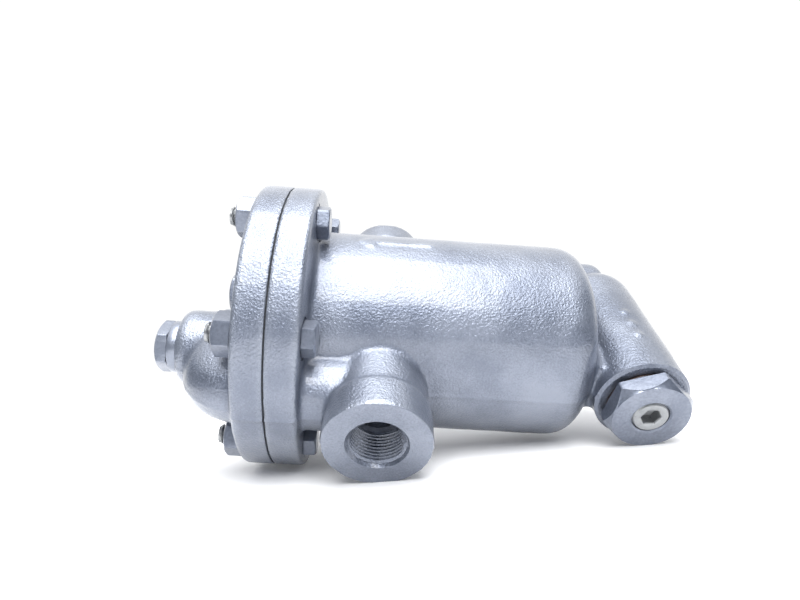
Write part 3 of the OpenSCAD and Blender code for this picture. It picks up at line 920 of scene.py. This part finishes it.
def ring_of(template, name, materials, node, turned_by):
    """Stands a fastener template at every cap bolt, each turned by its own degrees."""
    fasteners = bpy.context.scene.trap_fasteners
    painted = template.attributes.new("painted", "BOOLEAN", "FACE")
    painted.data.foreach_set("value", [p.material_index == PAINTED for p in template.polygons])
    template.transform(Matrix.Scale(MM, 4))
    pattern = thing(template, "pattern")
    places = mesh_of(circle(fasteners.circle_r, fasteners.count), [])
    turn = places.attributes.new("turn", "FLOAT", "POINT")
    turn.data.foreach_set("value", np.radians(turned_by))
    looks = [finishes()[material] for material in materials]
    ring = with_nodes(thing(places, name), "Fastener circle", {
        "Fastener": pattern, "Centre": (0.0, AXIS_Y, 0.0), "Paint": looks[0],
        "Bare metal": looks[-1]})
    drop(pattern)
    inks = [looks.index(ring.data.materials[p.material_index]) for p in ring.data.polygons]
    deliver(ring, name, materials, node, 28)
    ring.data.polygons.foreach_set("material_index", inks)


def fit(mesh, at, towards, name, materials, node, sharp=28):
    """Stands a turned piece in its place on the body's axis and delivers it."""
    piece = thing(place(moved(mesh, at, towards)), name)
    deliver(piece, name, materials, node, sharp)


class TRAP_OT_fasteners(bpy.types.Operator):
    """Six hexagon bolts with rolled threads, and their nuts"""
    bl_idname = "trap.fasteners"
    bl_label = "Cap bolts and nuts"

    def execute(self, context):
        f = sizes(context.scene.trap_fasteners)
        under, start, end = FLANGE_UNDER, CAP_Z + 4, BOLT_HIGH[2] / MM
        head = [(r, under - z) for r, z in chamfered(f.head_af, under - BOLT_LOW[2] / MM)][::-1]
        head += [(f.head_af * 0.46, under)]
        rows = head + [(f.shank_r, under), (f.shank_r, start)]
        rows += spiral(f.shank_r, start + 0.2, end - 0.8, f.pitch) + [(f.shank_r - 0.8, end)]
        inks = [PAINTED] * len(head) + [BARE] * (len(rows) - len(head))
        bolt = threaded(turned(rows, 96, inks=inks), f.shank_r, f.pitch, 0.85, start, end + 1)
        ring_of(bolt, "cap_bolt_set", ["Hardware enamel", "Zinc plate"], "cap_bolts",
                f.head_turns)
        low, tall = NUT_LOW[2] / MM, (NUT_HIGH[2] - NUT_LOW[2]) / MM
        bore, washer_r, washer = f.shank_r + 0.12, f.nut_af * 0.47, 0.4
        (foot_r, _), *outer = chamfered(f.nut_af, tall)
        rows = [(washer_r, 0.0), (washer_r, washer), (foot_r, washer), *outer, (bore + 0.9, tall),
                (bore, tall - 0.9), (bore, 0.6), (bore + 0.6, 0)]
        nut = turned([(r, z + low) for r, z in rows], 96, ring=True)
        ring_of(nut, "cap_nut_set", ["Hardware enamel"], "cap_nuts", f.nut_turns)
        return {"FINISHED"}


def hex_plug(f, seat, spin):
    """Hexagon plug with a collar and a short pipe thread, standing on its seat height."""
    hex_t, collar_r, stem_r, stem = 5.8, 12.7, 7.1, 12
    collar, wall, face = seat + 5, hexagon(f.plug_af, 96, spin), f.plug_af / 2 * 0.93
    top, low = collar + hex_t, seat - stem + 1
    crest = top - np.maximum(wall - face, 0) * 0.5
    rows = [(stem_r - 0.9, seat - stem)] + spiral(stem_r, low, seat - 1, f.pipe_pitch)
    rows += [(stem_r, seat)]
    inks = [BARE] * len(rows)
    outer = [(collar_r - 0.9, seat), (collar_r - 0.2, seat + 0.3), (collar_r, seat + 1),
             (collar_r, collar - 1.1), (collar_r - 0.3, collar - 0.5),
             (collar_r - 1.2, collar - 0.1), (f.plug_af * 0.485, collar),
             (np.minimum(wall, collar_r + 0.2) - 0.25, collar + 0.05), (wall, collar + 0.5),
             (wall, crest - 0.25), (wall - 0.25, crest), (face, top)]
    inks += [PAINTED] * len(outer)
    return threaded(turned(rows + outer, 96, inks=inks), stem_r, f.pipe_pitch, 0.8, low, seat - 1)


class TRAP_OT_plugs(bpy.types.Operator):
    """Test plug on the outlet boss and the second plug on the cap"""
    bl_idname = "trap.plugs"
    bl_label = "Cap plugs"

    def execute(self, context):
        f = sizes(context.scene.trap_fasteners)
        for node, seat, y, spin in (("test_plug", BOSS_TOP, BOSS_Y, 2.3),
                                    ("cap_plug", TAPPING_TOP, TAPPING_Y, 14)):
            fit(hex_plug(f, seat, math.radians(spin)), (0, y, 0), "+Z", node + "_turned",
                ["Hardware enamel", "Zinc plate"], node)
        return {"FINISHED"}


class TRAP_OT_strainer_end(bpy.types.Operator):
    """Strainer plug with its blowdown plug and copper ring"""
    bl_idname = "trap.strainer_end"
    bl_label = "Strainer plug"

    def execute(self, context):
        f, at = sizes(context.scene.trap_fasteners), (0, 0, STRAINER_Z)
        bore = context.scene.trap_casting.strainer_bore_r / MM
        mouth, seat = -RIM_Y, (AXIS_Y - RING_LOW[1]) / MM
        low, top = mouth - PLUG_STEM, (AXIS_Y - PLUG_LOW[1]) / MM
        wall = hexagon(f.strainer_af, 144, math.radians(21.4))
        face, foot_r = f.strainer_af / 2 * 0.99, f.strainer_af * 0.485
        crest = top - np.maximum(wall - face, 0) * 1.4
        stem, pipe_r, inside_r, deep = bore - 0.15, 8.6, 12.65, seat - 9
        outer = [(stem - 1, low)] + spiral(stem, low + 1, seat - 2.6, f.pipe_pitch)
        outer += [(stem - 1.2, seat - 2.2), (stem - 1.2, seat)]
        rim = [(foot_r, seat), (foot_r, seat + 0.5), (wall - 0.4, seat + 0.55),
               (wall, seat + 0.95), (wall, crest - 0.35), (wall - 0.35, crest),
               (face, top - 0.05), (face - 0.6, top)]
        inner = [(pipe_r + 0.9, top), (pipe_r + 0.05, top - 0.7), (pipe_r + 0.05, deep + 1),
                 (6, deep + 0.99), (6, deep), (inside_r, deep), (inside_r, low)]
        inks = [BARE] * len(outer) + [PAINTED] * (len(rim) + 1) + [BARE] * (len(inner) - 1)
        plug = threaded(turned(outer + rim + inner, 144, ring=True, inks=inks), stem,
                        f.pipe_pitch, 0.9, low + 0.5, seat - 2.4)
        fit(plug, at, "-Y", "strainer_plug_turned", ["Hardware enamel", "Zinc plate"],
            "strainer_plug")
        socket, end, wall = hexagon(f.socket_af, 96, math.radians(4)), top - 0.2, pipe_r - 0.1
        rows = [(wall - 1.1, top - 12), (wall, top - 11)]
        rows += spiral(wall, top - 10.8, top - 1.2, f.pipe_pitch)
        rows += [(wall, top - 1.1), (wall - 0.8, end), (socket + 1.1, end),
                 (socket + 0.35, end - 0.3), (socket, end - 0.9), (socket, top - 6),
                 (socket * 0.5, top - 6.4)]
        inks = [PAINTED] * (len(rows) - 4) + [BARE] * 4
        plug = threaded(turned(rows, 96, inks=inks), wall, f.pipe_pitch, 0.7, top - 11, top - 1.1)
        fit(plug, at, "-Y", "blowdown_plug_turned", ["Zinc plate", "Bored iron"],
            "blowdown_plug")
        ring_r, inside = RING_HIGH[0] / MM, bore + 0.1
        rows = rounded([(inside, mouth, 0.2), (ring_r, mouth, 0.3), (ring_r, seat, 0.3),
                        (inside, seat, 0.2)], 3)
        fit(turned(rows, 96, ring=True), at, "-Y", "copper_sealing_ring", ["Copper ring"],
            "strainer_gasket", 32)
        return {"FINISHED"}


class TRAP_OT_screen(bpy.types.Operator):
    """Pierced stainless strainer screen"""
    bl_idname = "trap.screen"
    bl_label = "Strainer screen"

    def execute(self, context):
        s = context.scene.trap_screen
        low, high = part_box("strainer_screen")
        radius, sides = (high[0] - low[0]) / 2, 8
        across = 2 * math.pi * radius / s.around
        along = (high[1] - low[1]) / s.along
        points = [(-.5, -.5), (0, -.5), (.5, -.5), (.5, 0), (.5, .5), (0, .5), (-.5, .5), (-.5, 0)]
        points += [(s.hole_r / across * math.cos(a), s.hole_r / along * math.sin(a))
                   for a in math.radians(225) + angles(sides)]
        faces = [(k, (k + 1) % sides, sides + (k + 1) % sides, sides + k) for k in range(sides)]
        cell = thing(mesh_of([(x, y, 0) for x, y in points], faces), "cell")
        screen = with_nodes(thing(bpy.data.meshes.new("screen"), "screen"), "Pierced screen", {
            "Cell": cell, "Around": s.around, "Along": s.along, "Radius": radius - s.wall,
            "Length": high[1] - low[1], "Wall": s.wall,
            "Centre": (0.0, low[1] + along / 2, (low[2] + high[2]) / 2),
            "Finish": finishes()["Stainless sheet"]})
        drop(cell)
        deliver(screen, "pierced_screen", ["Stainless sheet"], "strainer_screen")
        return {"FINISHED"}


# ---- the pieces whose CAD shape is right ----

KEPT = {
    "Gasket fibre": ["cap_gasket"],
    "Stainless bar": ["valve_seat", "bracket_screws", "guide_pins", "valve", "valve_nut",
                      "clip_rivets"],
    "Stainless sheet": ["guide_bracket", "lever", "bucket", "bucket_clip", "inlet_tube"],
}


class TRAP_OT_mechanism(bpy.types.Operator):
    """Finishes for the gasket, the valve mechanism, the bucket and the inlet tube"""
    bl_idname = "trap.mechanism"
    bl_label = "Mechanism finishes"

    def execute(self, context):
        for material, nodes in KEPT.items():
            for node in nodes:
                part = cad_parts[node]
                part.data.materials.clear()
                part.data.materials.append(finishes()[material])
        return {"FINISHED"}


# ---- studio ----

# The trap lies on its side on the table: up is the way the table faces.
UP = Vector((0.808, 0.570, 0.146)).normalized()
REST = 65.6 * MM
CAMERA = Vector((173.84, -324.81, 4.29)) * MM
LOOK = Vector((-0.5365, 0.8428, -0.0432))
CAMERA_UP = Vector((0.8403, 0.5383, 0.0642))


def room(stage):
    """White room that is dimmer behind the camera, and plain white to the camera itself."""
    world = bpy.data.worlds.new("White room")
    bpy.context.scene.world = world
    world.use_nodes = True
    net = Net(world.node_tree)
    way = net.wire("ShaderNodeTexCoord", "Generated")
    ahead = net.vector("DOT_PRODUCT", way, tuple(LOOK), output="Value")
    above = net.vector("DOT_PRODUCT", way, tuple(UP), output="Value")
    level = net.maths("MAXIMUM", net.step(above, 0.38, 0.66), net.step(ahead, 0.1, 0.6))
    level = net.maths("MAXIMUM", level, net.step(above * -1, 0.08, 0.4))
    light = level * (stage.sky - stage.front) + stage.front
    seen = net.wire("ShaderNodeLightPath", "Is Camera Ray")
    light = light + seen * (1.05 - light)
    tint = net.blend(net.maths("MAXIMUM", level, seen), (0.6, 0.75, 1.0), (1.0, 1.0, 1.0))
    net.feed(net.tree.nodes["Background"], {0: tint, 1: light})


class TRAP_OT_stage(bpy.types.Operator):
    """Pale table, white room, one soft box and the camera"""
    bl_idname = "trap.stage"
    bl_label = "Studio"

    def execute(self, context):
        stage = context.scene.trap_stage
        context.scene.view_settings.view_transform = "Standard"
        room(stage)
        side = UP.cross(Vector((0, 0, 1))).normalized()
        deep = UP.cross(side)
        centre, reach = Vector((0, AXIS_Y, 0)) - UP * REST, 4.0
        corners = [centre + side * a * reach + deep * b * reach
                   for a, b in ((-1, -1), (1, -1), (1, 1), (-1, 1))]
        table = thing(mesh_of(corners, [(0, 1, 2, 3)]), "table")
        if table.data.polygons[0].normal.dot(UP) < 0:
            table.data.flip_normals()
        table.data.materials.append(finish("Pale table", table_top))
        lamp = bpy.data.lights.new("soft_box", "AREA")
        lamp.shape, lamp.size, lamp.size_y, lamp.energy = "RECTANGLE", 1.1, 0.7, stage.lamp
        box, middle = thing(lamp, "soft_box"), Vector((0, AXIS_Y, -40 * MM))
        box.location = middle + UP * 0.8 - LOOK * 0.45
        box.rotation_euler = (middle - box.location).to_track_quat("-Z", "Y").to_euler()
        camera = bpy.data.cameras.new("camera")
        camera.lens, camera.sensor_width, camera.clip_start = stage.lens, 36, 0.01
        eye = thing(camera, "camera")
        right = LOOK.cross(CAMERA_UP).normalized()
        turn = Matrix((right, right.cross(LOOK.normalized()), -LOOK.normalized())).transposed()
        eye.matrix_world = Matrix.Translation(CAMERA) @ turn.to_4x4()
        context.scene.camera = eye
        return {"FINISHED"}


class TRAP_PT_panel(bpy.types.Panel):
    """Lists the trap's pieces and their sizes"""
    bl_idname = "TRAP_PT_panel"
    bl_label = "Steam trap"
    bl_space_type = "VIEW_3D"
    bl_region_type = "UI"
    bl_category = "Steam trap"

    def draw(self, context):
        for operator in OPERATORS:
            self.layout.operator(operator.bl_idname)
        for name in GROUPS:
            group = getattr(context.scene, name)
            for prop in type(group).__annotations__:
                self.layout.prop(group, prop)


GROUPS = {"trap_casting": TrapCasting, "trap_fasteners": TrapFasteners,
          "trap_screen": TrapScreen, "trap_finish": TrapFinish, "trap_stage": TrapStage}
OPERATORS = (TRAP_OT_stage, TRAP_OT_body, TRAP_OT_cap, TRAP_OT_fasteners, TRAP_OT_plugs,
             TRAP_OT_strainer_end, TRAP_OT_screen, TRAP_OT_mechanism)


def register():
    for made in (*GROUPS.values(), *OPERATORS, TRAP_PT_panel):
        bpy.utils.register_class(made)
    for name, group in GROUPS.items():
        setattr(bpy.types.Scene, name, bpy.props.PointerProperty(type=group))


def unregister():
    for name in GROUPS:
        delattr(bpy.types.Scene, name)
    for made in reversed((*GROUPS.values(), *OPERATORS, TRAP_PT_panel)):
        bpy.utils.unregister_class(made)


def main():
    register()
    for operator in OPERATORS:
        name = operator.bl_idname.split(".")[1]
        getattr(bpy.ops.trap, name)()


if __name__ == "__main__":
    main()
